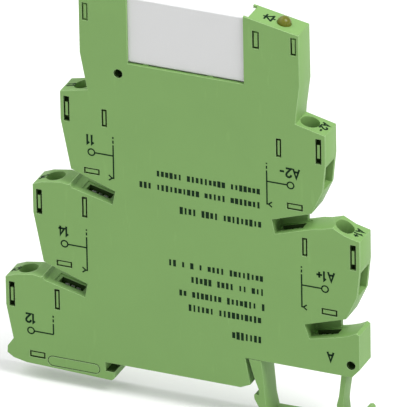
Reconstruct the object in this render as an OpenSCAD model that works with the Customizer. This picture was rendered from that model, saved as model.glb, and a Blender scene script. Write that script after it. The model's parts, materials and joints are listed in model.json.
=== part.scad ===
// Slim rail-mounted relay module: a two-shell terminal housing, a plug-in relay, screw clamps,
// busbars, an input board with its indicator, an eject lever and a sprung rail latch.
// X runs along the rail foot, Y through the thickness (front face at -Y), Z up from the rail seat.

/* [Module] */
// Overall thickness of the module
body_t = 6.2; // [6.2:0.1:8]
// Height between one terminal level and the next
level_drop = 23.1; // [22.8:0.1:28]
// How far each output level steps out past the one above
left_step = 6.77; // [6:0.01:8.2]
// How far the lower input level steps out past the upper one
right_step = 7.45; // [6.5:0.01:9]
// Width of the rail that the foot takes
rail_w = 35; // [35:0.1:35.4]

/* [Relay] */
// Relay case length
relay_l = 28; // [27.6:0.1:28.4]
// Relay case thickness
relay_t = 5; // [4.6:0.1:5]
// Relay case height
relay_h = 15; // [14.5:0.1:18]
// Relay case wall
case_wall = 0.5; // [0.4:0.05:0.6]
// Length of the plug pins below the case
pin_len = 3.4; // [3:0.1:4]

/* [Terminals] */
// Screwdriver access bore diameter
access_d = 4.2; // [4:0.1:4.4]
// Clamp screw head diameter
head_d = 3.8; // [3.2:0.1:4]
// Clamp screw shank diameter
shank_d = 2.5; // [2:0.1:3]
// Busbar thickness
bar_t = 0.9; // [0.6:0.1:1]
// Travel of a clamp cage from open to closed
cage_travel = 1.8; // [1:0.1:1.8]
// Outward lean of the clamp screws, square to the sloping ledges
screw_lean = 11; // [10:0.5:12]

/* [Latch and lever] */
// Outward travel of the rail latch
latch_travel = 1.2; // [0.8:0.1:1.4]
// Height of the slot that takes the rail's lip
lip_slot = 2.1; // [2.1:0.05:2.4]
// Diameter of the lever's pivot post
pivot_d = 1.9; // [1.5:0.1:2]

/* [Fits] */
// Radial clearance of pins that turn
run_gap = 0.05; // [0.02:0.01:0.1]
// Gap between parts that only sit beside each other
side_gap = 0.1; // [0.05:0.01:0.15]

/* [View] */
// Sub-part to draw

/* [Hidden] */
$fn = 48;
cut = 1;                         // how far a cut runs past the face that it opens
sit = 0.02;                      // gap of pieces that sit on each other
half_t = body_t / 2;
in_y = relay_t / 2 + side_gap / 2; // half width of every pocket inside the shells
rail_h = rail_w / 2;
// terminal levels: outer edge and top corner of each, top level first
low_z = 16.1;
function lx(i) = -26.3 - i * left_step;
function lz(i) = low_z + (2 - i) * level_drop;
function rx(i) = 33.18 + i * right_step;
function rz(i) = low_z + level_drop + 0.1 + (1 - i) * (level_drop + 0.2);
top_z = lz(0);                   // everything above follows the top level
floor_z = top_z + 9.05;          // floor of the relay pocket
relay_x = 2.2;
relay_z = floor_z + 0.25;        // the relay stands on two small nubs
lap = 0.95;                      // how far each tower laps the relay's ends
pk_l = relay_x - relay_l / 2 + lap;
pk_r = relay_x + relay_l / 2 - lap;
tower_in_z = relay_z + relay_h + 0.46;
tower_out_z = tower_in_z - 2.35;
tl_x = -21.6;
tr_x = 27.5;
// clamps, measured from a level's edge and top corner
screw_in = [4.3, 4.7];           // from the edge: output side, input side
bar_z = -9.85;                   // underside of the busbar
bar_w = 2.7;
chamber_top = -3;
head_h = 1.7;
head_z = chamber_top - side_gap;
cage_w = 4.2;
cage_t = 4.4;
cage_h = 7.4;
cage_wall = 1.5;                 // top of the cage, which takes the thread
cage_top = head_z - head_h - cage_travel - 0.3;
window_h = 4.3;
window_t = 3;
chamber_w = cage_w + 0.4;
chamber_low = cage_top - cage_h - 0.3;
bay_in = 10.1;                   // from the edge to the bay behind the chamber
wire_hi = -7.6;
wire_lo = -13.1;
wire_y = 2.2;
wire_in = 5.6;                   // how far in the wire entry meets the chamber
access_h = 9;                    // a bore's cutter, from the chamber out past the ledge
bar_gap = 0.25;                  // round a busbar where it passes a wall
// bridge slots
bridge_in = 14.1;
bridge_l = 5.6;
bridge_t = 2.2;
bridge_deep = 4;
stem_half = 1.4;                 // half width of the shaft for a bridge contact's stem
// relay pins, from the case's left end: contacts 12, 11, 14, then the coil
pin_x = [2.9, 7.9, 12.9, 21.3, 25.1];
function px(i) = relay_x - relay_l / 2 + pin_x[i];
layer_y = [-1.5, 0, 1.5];        // the three output busbars pass in separate layers
pin_slot = [1.5, 1.1];           // length and width of a pin's slot in the pocket floor
strip_t = 0.7;
foot_low = floor_z - 5.4;        // where the strips end under the socket contacts
foot_top = floor_z - 4.9;
foot_half = 0.9;
board_y = 0.9;
board_t = 0.8;
pad_y = board_y - sit;           // what is soldered to the board ends here
hole_r = 1;
hole_end = -0.6;
hole_a = [-13.05, floor_z - 2.65];
hole_b = [38.4, 9.96];
pivot = [-16.2, floor_z + 0.85];
latch_y = 1.9;                   // half width of the latch's bar and neck
guide_z = 7.7;                   // underside of the bar in its guide
guide_h = 1;
latch_x = 15.35;                 // outer side of the latch's main neck
neck_w = 2.7;
rear_x = [35.75, 36.95];         // the rear neck where it meets the bar
bar_end = 37.2;
nub_w = 1.2;
lever_half = 1.3;                // half thickness of the lever
hub_r = 1.85;
face_in = 0.12;                  // hooks end this far under the front face
pill_x = -29.4;                  // the panel's first end centre
pill_z = -2.05;
pill_l = 9.6;                    // between its end centres
pill_h = 2.5;
pill_edge = 0.25;
pill_deep = 0.12;
led_x = 23.2;
led_r = 1.5;
led_h = 2.3;                     // straight part of the lens

green = [0.46, 0.62, 0.37];
steel = [0.75, 0.76, 0.78];
copper = [0.8, 0.55, 0.35];
brass = [0.82, 0.7, 0.4];
silver = [0.88, 0.88, 0.88];
white = [0.86, 0.86, 0.86];
black = [0.13, 0.13, 0.14];

// ---------------------------------------------------------------- helpers
// an outline in X and Z made into a plate from y0 to y1
module slab(y0, y1) translate([0, y1, 0]) rotate([90, 0, 0]) linear_extrude(y1 - y0) children();
// a box given by its low and high corners
module box(a, b) translate(a) cube(b - a);
// a round bar along Y
module bar_y(x, z, r, y0, y1) translate([x, y1, z]) rotate([90, 0, 0]) cylinder(r = r, h = y1 - y0);
// places a level's fitting: dir is 1 on the output side and -1 on the input side
function edge(i) = i < 3 ? [lx(i), lz(i), 1] : [rx(i - 3), rz(i - 3), -1];
function sx(i) = edge(i)[0] + edge(i)[2] * screw_in[i < 3 ? 0 : 1];
// a clamp's own frame: its origin in the mouth of the bore, Z along the leaning screw
module fitting(i) translate([sx(i), 0, edge(i)[1]]) rotate([0, -edge(i)[2] * screw_lean, 0]) children();

// ---------------------------------------------------------------- housing outline
function level_end_l(i) = [[lx(i), lz(i)], [lx(i), lz(i) - 6.5]];
function channel_l(i) = [[lx(i) + 8.87, lz(i) + 5.3], [lx(i) + 18.8, lz(i) + 1.75],
  [lx(i) + 18.15, lz(i) - 1.5], [lx(i) + 8.95, lz(i) + 0.8], [lx(i) + 8.55, lz(i) + 1.6],
  [lx(i) + 8.1, lz(i) + 1.35], [lx(i) + 6.3, lz(i) + 1.6], [lx(i) + 2.2, lz(i) + 0.9]];
function level_end_r(i) = [[rx(i) - 3.2, rz(i) - 18.6], [rx(i) - 0.75, rz(i) - 13.2],
  [rx(i), rz(i) - 6.4], [rx(i), rz(i)]];
outline = concat(
  [[pk_l, floor_z], [pk_l, tower_in_z], [tl_x, tower_out_z], [tl_x, top_z + 9.9],
   [tl_x + 1, top_z + 4.4], [lx(0) + 6.25, top_z + 1.35]],
  level_end_l(0), channel_l(1), level_end_l(1), channel_l(2), level_end_l(2),
  [[lx(2) + 1.5, 1.7], [lx(2) + 0.1, -0.3], [lx(2), -1.9], [lx(2) + 1.5, -2.9],
   [lx(2) + 4.4, -3.5], [-16, -4.1], [2.1 - rail_h, -3.6], [2.1 - rail_h, -lip_slot],
   [0.1 - rail_h, -lip_slot], [0.1 - rail_h, 0], [13.4, 0], [15.6, 1], [14.5, 7.2], [38.6, 7.2],
   [40.35, 9.2], [40.35, 17.3], [39.7, 17.7], [38.2, 16.9], [36.2, 16.2], [29.1, 14.5],
   [28.05, 17.7]],
  level_end_r(1),
  [[rx(1) - 3.2, rz(1) + 0.8], [rx(1) - 6, rz(1) + 2.2], [rx(1) - 8.5, rz(1) + 1.4],
   [rx(1) - 10.4, rz(1) + 1.1], [rx(1) - 19, rz(1) - 1.6], [rx(1) - 19.6, rz(1) + 1.7]],
  level_end_r(0),
  [[rx(0) - 6.6, rz(0) + 1.6], [26.7, top_z + 3.5], [27.6, top_z + 10.3], [tr_x, tower_out_z],
   [pk_r, tower_in_z], [pk_r, floor_z]]);

// latch windows in the front plate: centre x, centre z, width, height, height of the hook inside
hook_gap = 0.36;                 // on each side of a hook
pocket_deep = 1.2;               // of the pocket behind a window
tower_windows = [[-20.25, tower_out_z - 2.9, 1.3, 4.1, 3.2], [18, tower_out_z - 2.6, 1.5, 4.1, 3.2],
  [26.4, tower_out_z - 2.7, 1.3, 4.1, 3.2]];
level_windows = concat(
  [[lx(2) + 6.94, -1.2, 3.6, 1.5, 0.85]],
  [for (i = [0:2]) [lx(i) + 1.4, lz(i) - 3.9, 1.3, 5.85, 3.1]],
  [for (i = [0:2]) [lx(i) + (i == 0 ? 9.9 : 11.75), lz(i) - (i == 0 ? 4.6 : 3.3), 1.2,
    i == 0 ? 4.1 : 4.9, i == 0 ? 3.2 : 3.9]],
  [for (i = [0:1]) [lx(i) + 6.8, lz(i) - 17.55, 3.6, 1.4, 0.8]],
  [for (i = [0:1]) [rx(i) - 1.5, rz(i) - 3.9, 1.3, 5.85, 3.1]],
  [for (i = [0:1]) [rx(i) - (i == 0 ? 10.4 : 12.3), rz(i) - (i == 0 ? 4.6 : 3.4), 1.2, 4.3, 3.4]],
  [for (i = [0:1]) [rx(i) - 6.95, rz(i) - 17.7, 3.6, 1.5, 0.85]]);
windows = concat(tower_windows, level_windows);

// centre of the bridge slot: output levels 14 and 12, input level A1, then the lowest ledge
slots = [[lx(1) + bridge_in, lz(1) - 0.5, 14.1], [lx(2) + bridge_in, lz(2) - 0.5, 14.1],
  [rx(1) - 16.2, rz(1) - 0.7, -17], [32, 15.3, -13.5]];
// the bay behind a level's chamber
function bay_x(i) = edge(i)[0] + edge(i)[2] * bay_in;

// ---------------------------------------------------------------- housing
module relay_pocket_2d() polygon([[pk_l - lap - 0.05, floor_z], [pk_r + lap + 0.05, floor_z],
  [pk_r + lap + 0.05, tower_in_z + 5], [pk_l - lap - 0.05, tower_in_z + 5]]);

module bays() {
  for (i = [0:4]) fitting(i) box([-chamber_w / 2, -in_y - sit, chamber_low],
    [chamber_w / 2, in_y, chamber_top]);
  slab(-in_y - sit, in_y) union() {
    // middle of the housing, from the foot up to the relay pocket's floor and into the right tower
    polygon([[pk_l + 0.5, floor_z - 1], [17.1, floor_z - 1], [17.1, tower_out_z - 0.9],
      [26.6, tower_out_z - 2.2], [26.6, top_z + 10.8], [25.7, top_z + 4.2], [21.9, top_z + 3.4],
      [21.9, lz(0) - 16.2], [19.8, lz(1) + 4], [19.8, lz(1) - 4], [26.8, lz(1) - 5.6],
      [26.8, low_z + 5.1], [26, 10.8], [13.2, 10.8], [13.2, 1.2], [-14.4, 1.2], [-14.4, 8.9],
      [-19.4, 8.9], [-19.4, 12], [-20.3, 12.5], [-19.5, 20], [-19.5, lz(1) - 6.3],
      [-13.2, lz(1) - 3], [-13.2, lz(1) + 4.6], [-15.1, lz(0) - 16.2], [-15.1, top_z + 3.6]]);
    // bay behind each clamp chamber, open to the middle
    for (i = [0:4]) let(e = edge(i), d = e[2])
      polygon([[bay_x(i), max(1.2, e[1] - 15.9)], [d > 0 ? -13.6 : 19, max(1.2, e[1] - 15.9)],
        [d > 0 ? -13.6 : 19, e[1] - 7.4], [bay_x(i), e[1] - 7.4]]);
    // guide for the latch above the underside, and the bay of the lowest bridge contact
    translate([latch_x - 0.45, guide_z - side_gap])
      square([bar_end + latch_travel - latch_x + 0.65, guide_h + 2 * side_gap]);
    polygon([[25, 10.9], [35, 10.9], [35, 13], [25, 13]]);
    // lever bay in the left tower
    polygon([[-19.6, top_z + 8], [-12.9, top_z + 8], [-12.9, tower_in_z + 5],
      [-19.6, tower_in_z + 5]]);
  }
}

// a hook of the back shell, from just under the front face down to y1
module hook(w, y1) box([w[0] - w[2] / 2 + hook_gap, -half_t + face_in, w[1] - w[4] / 2],
  [w[0] + w[2] / 2 - hook_gap, y1, w[1] + w[4] / 2]);

module housing_base() color(green) difference() {
  union() {
    difference() {
      slab(-in_y, half_t) polygon(outline);
      bays();
      slab(-in_y - sit, in_y) relay_pocket_2d();
      // chamber to bay, for each busbar
      for (i = [0:4])
        let(e = edge(i), d = e[2], a = e[0] + d * (bay_in - 2.1), b = e[0] + d * (bay_in + 0.4))
        box([min(a, b), -bar_w / 2 - bar_gap, e[1] + bar_z - bar_gap],
            [max(a, b), bar_w / 2 + bar_gap, e[1] + bar_z + bar_t + bar_gap]);
      // screwdriver access and wire entry
      for (i = [0:4]) fitting(i) translate([0, 0, chamber_top - cut]) cylinder(d = access_d, h = access_h);
      for (i = [0:4]) let(e = edge(i), d = e[2], a = e[0] - d * cut, b = e[0] + d * wire_in)
        box([min(a, b), -wire_y, e[1] + wire_lo], [max(a, b), wire_y, e[1] + wire_hi]);
      // pockets behind the windows of the levels
      for (w = level_windows) box([w[0] - w[2] / 2, -in_y - sit, w[1] - w[3] / 2],
        [w[0] + w[2] / 2, -in_y + pocket_deep, w[1] + w[3] / 2]);
      // bridge slots
      for (s = slots) {
        translate([s[0], 0, s[1]]) rotate([0, s[2], 0])
          box([-bridge_l / 2, -bridge_t / 2, -bridge_deep], [bridge_l / 2, bridge_t / 2, 2]);
        translate([s[0], 0, s[1]]) rotate([0, s[2], 0])
          box([-bridge_l / 2 - 0.8, -1.7, -0.15], [bridge_l / 2 + 1.2, 1.9, 1.6]);
      }
      for (i = [0:2]) box([slots[i][0] - stem_half, -bridge_t / 2, slots[i][1] - bridge_deep - 4],
        [slots[i][0] + stem_half, bridge_t / 2, slots[i][1] - bridge_deep + 1]);
      // pin slots and lever toe slot through the pocket floor
      for (i = [0:4]) box([px(i) - pin_slot[0] / 2, -pin_slot[1] / 2, floor_z - 2],
        [px(i) + pin_slot[0] / 2, pin_slot[1] / 2, floor_z + cut]);
      box([-13.5, -1.4, floor_z - 0.95], [pk_l + 1.2, 1.4, floor_z + 2.8]);
      // locating holes in line with those of the front plate
      for (h = [hole_a, hole_b]) bar_y(h[0], h[1], hole_r, -half_t, hole_end);
      // indicator hole
      translate([led_x, 0, tower_out_z - 4]) cylinder(r = led_r + side_gap / 2, h = 8);
      // slots for the latch's two necks
      box([latch_x - 0.15, -in_y, 6],
          [latch_x + neck_w + latch_travel + 2 * side_gap, in_y, guide_z]);
      box([rear_x[0] - 0.25, -latch_y - side_gap / 2, 6],
          [rear_x[1] + latch_travel + 2 * side_gap, latch_y + side_gap / 2, guide_z]);
    }
    // snap hooks that stand in the windows of the front plate
    for (w = tower_windows) hook(w, -in_y + 0.3);
    for (w = level_windows) hook(w, -in_y + pocket_deep + 0.3);
    // webs at the back of the input side's two notches
    slab(latch_y + side_gap / 2, half_t) polygon([[rx(1) - 20.2, rz(1) - 2.2],
      [rx(1) - 20.2, rz(1) + 2.2], [rx(1) - 13.6, rz(1) + 4], [rx(1) - 13.6, rz(1) - 0.4]]);
    slab(latch_y + side_gap / 2, half_t) polygon([[27.4, 14], [27.4, 18.2], [34.2, 19.9],
      [34.2, 15.2]]);
    // nubs under the relay
    for (x = [-7, 7.5])
      box([x - nub_w / 2, -in_y + side_gap, floor_z - 0.5], [x + nub_w / 2, in_y + 0.2, relay_z]);
    // lever pivot post
    bar_y(pivot[0], pivot[1], pivot_d / 2, -in_y + side_gap / 2, in_y + 0.2);
  }
}

// outline of the panel, for a given end radius
module pill_2d(r) union() {
  translate([pill_x, pill_z - r]) square([pill_l, 2 * r]);
  for (x = [0, pill_l]) translate([pill_x + x, pill_z]) circle(r = r);
}

module housing_cover() color(green) difference() {
  slab(-half_t, -in_y) difference() {
    polygon(outline);
    for (w = windows) translate([w[0], w[1]]) square([w[2], w[3]], center = true);
    for (h = [hole_a, hole_b]) translate(h) circle(r = hole_r);
  }
  // shallow pill-shaped panel
  slab(-half_t - pill_deep, -half_t + pill_deep) difference() {
    pill_2d(pill_h / 2);
    pill_2d(pill_h / 2 - pill_edge);
  }
}

// foot that snaps under the rail's edge; two necks run up into the housing's guide
module rail_latch() color(green) union() {
  slab(-half_t, half_t) polygon([[latch_x, 7.1], [16.2, 4], [16.95, 1.7], [rail_h + sit, 0.2],
    [rail_h + sit, -1.1], [16.4, -1.25], [16.5, -2.2], [17.6, -4.2], [17.8, -7.1], [38.2, -7.1],
    [40.4, -5.6], [41.4, -2.1], [40.9, -1.5], [40.1, -1.7], [39.2, -4.3], [38.2, -5.5],
    [19.6, -5.7], [19, -2.8], [18.55, 3], [latch_x + neck_w, 7.1]]);
  slab(-latch_y, latch_y) polygon([[rear_x[0], guide_z + 0.5], [rear_x[0], 7.1], [35.1, 1.4],
    [34.6, -0.6], [34.9, -5.8], [36.5, -5.8], [36, -0.4], [36.2, 1.5], [rear_x[1], 6.6],
    [rear_x[1], guide_z + 0.5]]);
  box([latch_x, -in_y + side_gap, 6.9], [latch_x + neck_w, in_y - side_gap, guide_z + guide_h]);
  box([latch_x, -latch_y, guide_z], [bar_end, latch_y, guide_z + guide_h]);
}

// ejector in the left tower: toe under the relay, finger pad in the tower's top
module eject_lever() color(green) difference() {
  union() {
    slab(-lever_half, lever_half) polygon([[pivot[0] - 1.3, pivot[1]], [pivot[0] - 0.8, tower_in_z - 3.2],
      [pivot[0] - 0.8, tower_in_z - 0.1], [-13.6, tower_in_z + 0.2], [-13.6, tower_in_z - 1.6],
      [pivot[0] + 0.9, tower_in_z - 3.6], [pivot[0] + 1.4, pivot[1] + 0.6],
      [-13.1, floor_z + 0.1], [-9.95, floor_z + 0.05], [-9.95, floor_z - 0.85],
      [-13.3, floor_z - 0.85], [pivot[0], pivot[1] - 1.6]]);
    bar_y(pivot[0], pivot[1], hub_r, -lever_half, lever_half);
  }
  bar_y(pivot[0], pivot[1], pivot_d / 2 + run_gap, -lever_half - cut, lever_half + cut);
}

// ---------------------------------------------------------------- terminals
slot_w = 0.7;                    // screwdriver slot
slot_deep = 0.7;
// the shank ends just above the busbar
shank_end = (bar_z + bar_t + sit + shank_d / 2 * sin(screw_lean)) / cos(screw_lean);
module clamp_screw(i) color(steel) fitting(i) difference() {
  union() {
    translate([0, 0, head_z - head_h]) cylinder(d = head_d, h = head_h);
    translate([0, 0, shank_end]) cylinder(d = shank_d, h = head_z - head_h - shank_end);
  }
  translate([0, 0, head_z]) cube([head_d + cut, slot_w, 2 * slot_deep], center = true);
}
module clamp_cage(i) color(steel) fitting(i) difference() {
  box([-cage_w / 2, -cage_t / 2, cage_top - cage_h], [cage_w / 2, cage_t / 2, cage_top]);
  box([-cage_w, -window_t / 2, cage_top - cage_wall - window_h],
    [cage_w, window_t / 2, cage_top - cage_wall]);
  translate([0, 0, cage_top - cage_wall - cut]) cylinder(r = shank_d / 2 + run_gap,
    h = cage_wall + 2 * cut);
}

// tongue inside a clamp, then a strip in its own layer
module tongue(i, inner) let(e = edge(i), d = e[2], a = e[0] + d * 3.7, z = e[1] + bar_z)
  box([min(a, inner), -bar_w / 2, z], [max(a, inner), bar_w / 2, z + bar_t]);
module strip(y, pts) slab(y - strip_t / 2, y + strip_t / 2) polygon(pts);
module cross_foot(i, y) box([px(i) - foot_half, min(0, y) - strip_t / 2, foot_low],
  [px(i) + foot_half, max(0, y) + strip_t / 2, foot_top]);

module busbar_11() color(copper) let(z = lz(0) + bar_z, t = foot_low) union() {
  tongue(0, -13.3);
  strip(layer_y[0], [[-14.9, z], [-13.3, z], [-13.3, t - 2.9], [px(1) + foot_half, t - 2.9],
    [px(1) + foot_half, t + 0.5], [px(1) - foot_half, t + 0.5], [px(1) - foot_half, t - 1.3],
    [-14.9, t - 1.3]]);
  cross_foot(1, layer_y[0]);
}
module busbar_14() color(copper) let(z = lz(1) + bar_z, t = foot_low) union() {
  tongue(1, -18.5);
  strip(layer_y[1], [[-18.6, z], [-9.3, z], [-9.3, t - 6.5], [px(2) + foot_half, t - 6.5],
    [px(2) + foot_half, t + 0.5], [px(2) - foot_half, t + 0.5], [px(2) - foot_half, t - 4.9],
    [-10.9, t - 4.9],
    [-10.9, z + 1.6], [-17.6, z + bar_t], [-18.6, z + bar_t]]);
  cross_foot(2, layer_y[1]);
}
module busbar_12() color(copper) let(z = lz(2) + bar_z, t = foot_low) union() {
  tongue(2, -18.5);
  strip(layer_y[2], [[-18.6, z], [-11.3, z], [-11.3, t - 9], [px(0) + foot_half, t - 6.6],
    [px(0) + foot_half, t + 0.5], [px(0) - foot_half, t + 0.5], [px(0) - foot_half, t - 5.6],
    [-12.9, t - 8.4],
    [-12.9, z + 1.6], [-18.6, z + bar_t]]);
  cross_foot(0, layer_y[2]);
}
// input busbars end in a pad soldered to the board
module busbar_in(i, inner) color(copper) let(z = edge(i)[1] + bar_z) union() {
  tongue(i, inner + 2.2);
  box([inner - 1.6, pad_y - 0.7, z - 0.4], [inner + 2.4, pad_y, z + bar_t + 0.4]);
}

fork_half = 1.8;                 // half length of a bridge fork's leaves
fork_top = -0.9;
slit_w = 0.4;                    // slits that part each leaf into three fingers
slit_deep = 1.4;
leaf_y = [0.35, 0.8];            // inner and outer face of a leaf
// springy fork in a bridge slot, with a stem down to its busbar
module fork(i, stem_z, side) color(brass) let(s = slots[i]) union() {
  translate([s[0], 0, s[1]]) rotate([0, s[2], 0]) difference() {
    for (m = [-1, 1]) box([-fork_half, m > 0 ? leaf_y[0] : -leaf_y[1], 0.4 - bridge_deep],
      [fork_half, m > 0 ? leaf_y[1] : -leaf_y[0], fork_top]);
    for (x = [-fork_half / 3, fork_half / 3])
      box([x - slit_w / 2, -cut, fork_top - slit_deep], [x + slit_w / 2, cut, fork_top + cut]);
  }
  translate([s[0], 0, s[1]]) rotate([0, s[2], 0])
    box([-1.4, -leaf_y[1], 0.2 - bridge_deep], [1.4, leaf_y[1], 0.7 - bridge_deep]);
  if (side == 0) box([s[0] - 0.9, -0.4, stem_z], [s[0] + 0.9, 0.4, s[1] - 3.4]);
  if (side != 0) {
    box([s[0] - 0.8, -0.35, 11.2], [s[0] + 0.8, 0.35, s[1] - 3.3]);
    box([17, -0.35, 11.2], [s[0] + 0.8, 0.35, 12.4]);
    box([17, -0.35, 11.2], [18.4, pad_y, stem_z]);
  }
}

socket_half = 0.8;               // half length of a socket fork
grip_y = [0.28, 0.68];           // inner and outer face of its leaves
socket_top = floor_z - 1.05;
// fork that takes one relay pin under the pocket floor
module socket_contact(i) color(brass) union() {
  for (m = [-1, 1]) box([px(i) - socket_half, m > 0 ? grip_y[0] : -grip_y[1], foot_top + 0.05],
    [px(i) + socket_half, m > 0 ? grip_y[1] : -grip_y[0], socket_top]);
  box([px(i) - socket_half, -grip_y[1], foot_top + sit], [px(i) + socket_half, grip_y[1], foot_top + 0.5]);
  if (i > 2) box([px(i) - 0.5, board_y - 0.62, floor_z - 8.4], [px(i) + 0.5, pad_y, floor_z - 4.4]);
}

// ---------------------------------------------------------------- input board
module circuit_board() color([0.1, 0.35, 0.2]) slab(board_y, board_y + board_t) difference() {
  polygon([[4.6, floor_z - 5.4], [4.6, lz(1) - 14.8], [19.2, lz(1) - 14.8], [19.2, lz(1) + 5.3],
    [21.5, lz(0) - 15], [21.5, top_z + 4.2], [25.2, top_z + 6], [26.1, tower_out_z - 7.2],
    [17.6, tower_out_z - 7.2], [17.6, floor_z - 5.4]]);
  // its own two locating holes
  for (z = [lz(1) - 12, top_z - 1]) translate([7, z]) circle(r = 0.8);
}
flange_r = led_r + 0.4;
flange_h = 0.9;
lead_w = 0.5;
// lens with its domed top, its flange and two leads
module led() color([0.6, 0.55, 0.15, 0.8]) let(z = tower_out_z - 3.3) union() {
  translate([led_x, 0, z]) cylinder(r = led_r, h = 1.9 + led_h);
  translate([led_x, 0, z + 1.9 + led_h]) intersection() {
    sphere(r = led_r);
    translate([-led_r, -led_r, 0]) cube([2 * led_r, 2 * led_r, led_r]);
  }
  translate([led_x, 0, z]) cylinder(r = flange_r, h = flange_h);
  for (x = [-1.1, 1.1]) box([led_x + x - lead_w / 2, pad_y - lead_w, tower_out_z - 9.6],
    [led_x + x + lead_w / 2, pad_y, z + 0.4]);
}
chip = [3.2, 0.67, 1.6];         // a resistor's length, height and width
module series_resistors() color(black)
  for (z = [lz(1) + 1, lz(1) + 4.2, lz(1) - 5])
    box([12, board_y - chip[1], z], [12 + chip[0], pad_y, z + chip[2]]);
module bridge_rectifier() color(black) union() {
  box([10, board_y - 2.4, lz(1) + 9.2], [14.8, board_y - 0.3, lz(1) + 13.2]);
  for (x = [10.5, 13.3], z = [8.2, 12.9]) box([x, board_y - 0.9, lz(1) + z],
    [x + 1, pad_y, lz(1) + z + 1.2]);
}
module freewheel_diode() color(black) union() {
  box([9.4, board_y - 1.9, floor_z - 12.4], [13.4, board_y - 0.15, floor_z - 10]);
  for (x = [8.7, 12.9]) box([x, board_y - 0.6, floor_z - 11.9], [x + 1.2, pad_y, floor_z - 10.5]);
}
module smoothing_capacitor() color([0.7, 0.55, 0.25])
  box([7.6, board_y - 2.6, lz(1) - 12.5], [14.6, pad_y, lz(1) - 8.5]);

// ---------------------------------------------------------------- relay
rl = relay_x - relay_l / 2;
// a box in the relay's own length and height
module rbox(x0, x1, y, z0, z1) box([rl + x0, -y, relay_z + z0], [rl + x1, y, relay_z + z1]);
case_gap = 0.05;                 // between the case and its base
inner_y = relay_t / 2 - case_wall - case_gap;
coil_z = relay_h - 6.7;          // height of the coil's axis
arm_x = 8.85;
arm_z = 4;
blade_x = 4.2;
blade_z = 3.2;
contact_z = 10.6;
pin_w = 0.9;
pin_t = 0.5;
strip_top = 2.1;                 // top of the contacts' feet on the base
card_z = relay_h - 2;
pull = 0.67;                     // stroke of the card
arm_tilt = atan(pull / (card_z - arm_z));

module relay_cover() color(white) difference() {
  box([rl, -relay_t / 2, relay_z], [rl + relay_l, relay_t / 2, relay_z + relay_h]);
  box([rl + case_wall, -relay_t / 2 + case_wall, relay_z - 1],
      [rl + relay_l - case_wall, relay_t / 2 - case_wall, relay_z + relay_h - case_wall]);
}
module relay_base() color([0.2, 0.2, 0.22]) difference() {
  rbox(case_wall + case_gap, relay_l - case_wall - case_gap, inner_y, 0.15, 1.7);
  for (i = [0:4]) box([px(i) - pin_w / 2 - case_gap, -pin_t / 2 - case_gap, relay_z - cut],
    [px(i) + pin_w / 2 + case_gap, pin_t / 2 + case_gap, relay_z + 3]);
}
module plug_pin(i, top) box([px(i) - pin_w / 2, -pin_t / 2, relay_z - pin_len],
  [px(i) + pin_w / 2, pin_t / 2, relay_z + top]);
module coil_pins() color(brass) for (i = [3, 4]) union() {
  plug_pin(i, strip_top + 0.1);
  box([px(i) - pin_w / 2, -0.8, relay_z + 1.75], [px(i) + pin_w / 2, 0.8, relay_z + strip_top + 0.1]);
}
module contact_nc() color(brass) union() {
  plug_pin(0, strip_top);
  rbox(2.45, 3.35, 1.2, 1.75, strip_top);
  rbox(2.9, 3.25, 1.2, 1.75, contact_z + 1.2);
}
module contact_com() color(brass) union() {
  plug_pin(1, strip_top);
  rbox(3.9, 8.35, 0.9, 1.75, strip_top);
  rbox(3.9, 4.5, 0.9, 1.75, blade_z - 0.4);
}
module contact_no() color(brass) union() {
  plug_pin(2, 3);
  rbox(5.7, 13.35, 0.9, 2.6, 3);
  rbox(5.7, 6.05, 1.2, 2.6, contact_z + 1.2);
}
rivet_r = 0.75;
// a plain contact rivet from x0, along the relay
module rivet(x0, h, r = rivet_r) translate([rl + x0, 0, relay_z + contact_z]) rotate([0, 90, 0])
  cylinder(r = r, h = h);
module rivet_nc() color(silver) rivet(3.26, 0.45);
module rivet_no() color(silver) rivet(5.25, 0.44);
// the spring blade is split by its rivet's bore
module moving_contact() color(copper) difference() {
  union() {
    rbox(blade_x - 0.1, blade_x + 0.1, 1.1, blade_z, card_z + 0.6);
    bar_y(rl + blade_x, relay_z + blade_z, 0.3, -1.1, 1.1);
  }
  rivet(blade_x - cut, 2 * cut, rivet_neck + sit);
}
rivet_neck = 0.4;
module moving_rivet() color(silver) union() {
  rivet(blade_x - 0.45, 0.33);
  rivet(blade_x + 0.12, 0.33);
  rivet(blade_x - 0.4, 0.8, rivet_neck);
}
// flat card with one slot for the blade and one for the armature
module actuator_card() color([0.85, 0.8, 0.6]) difference() {
  rbox(3.1, 10, 1.5, card_z - 0.35, card_z + 0.35);
  rbox(blade_x - 0.25, blade_x + 0.25, 1.2, card_z - 1, card_z + 1);
  translate([rl + arm_x - pull, 0, relay_z + card_z]) cube([1.3, 2.5, 2], center = true);
}
module armature() color(steel)
  translate([rl + arm_x, 0, relay_z + arm_z]) rotate([0, -arm_tilt, 0]) union() {
  box([-0.45, -1.7, 0], [0.45, 1.7, card_z - arm_z - 0.9]);
  box([-0.45, -1.1, 0], [0.45, 1.1, card_z - arm_z + 0.55]);
  bar_y(0, 0, 0.5, -1.7, 1.7);
}
module armature_spring() color(steel) union() {
  rbox(8.3, 12, 0.5, 3.05, 3.22);
  rbox(8, 8.3, 0.5, 3.05, 4.1);
}
module yoke() color(steel) difference() {
  union() {
    rbox(9.4, 25.9, 1.7, 3.25, 4.15);
    rbox(25, 25.9, 1.7, 3.25, coil_z + 3);
  }
  rbox(24, 27, 1, coil_z - 1.3, coil_z + 1.3);
}
module coil_core() color(steel) union() {
  rbox(9.4, 10.1, 1.6, coil_z - 2.2, coil_z + 2.2);
  rbox(9.4, 25.9, 0.95, coil_z - 1.25, coil_z + 1.25);
}
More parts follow.
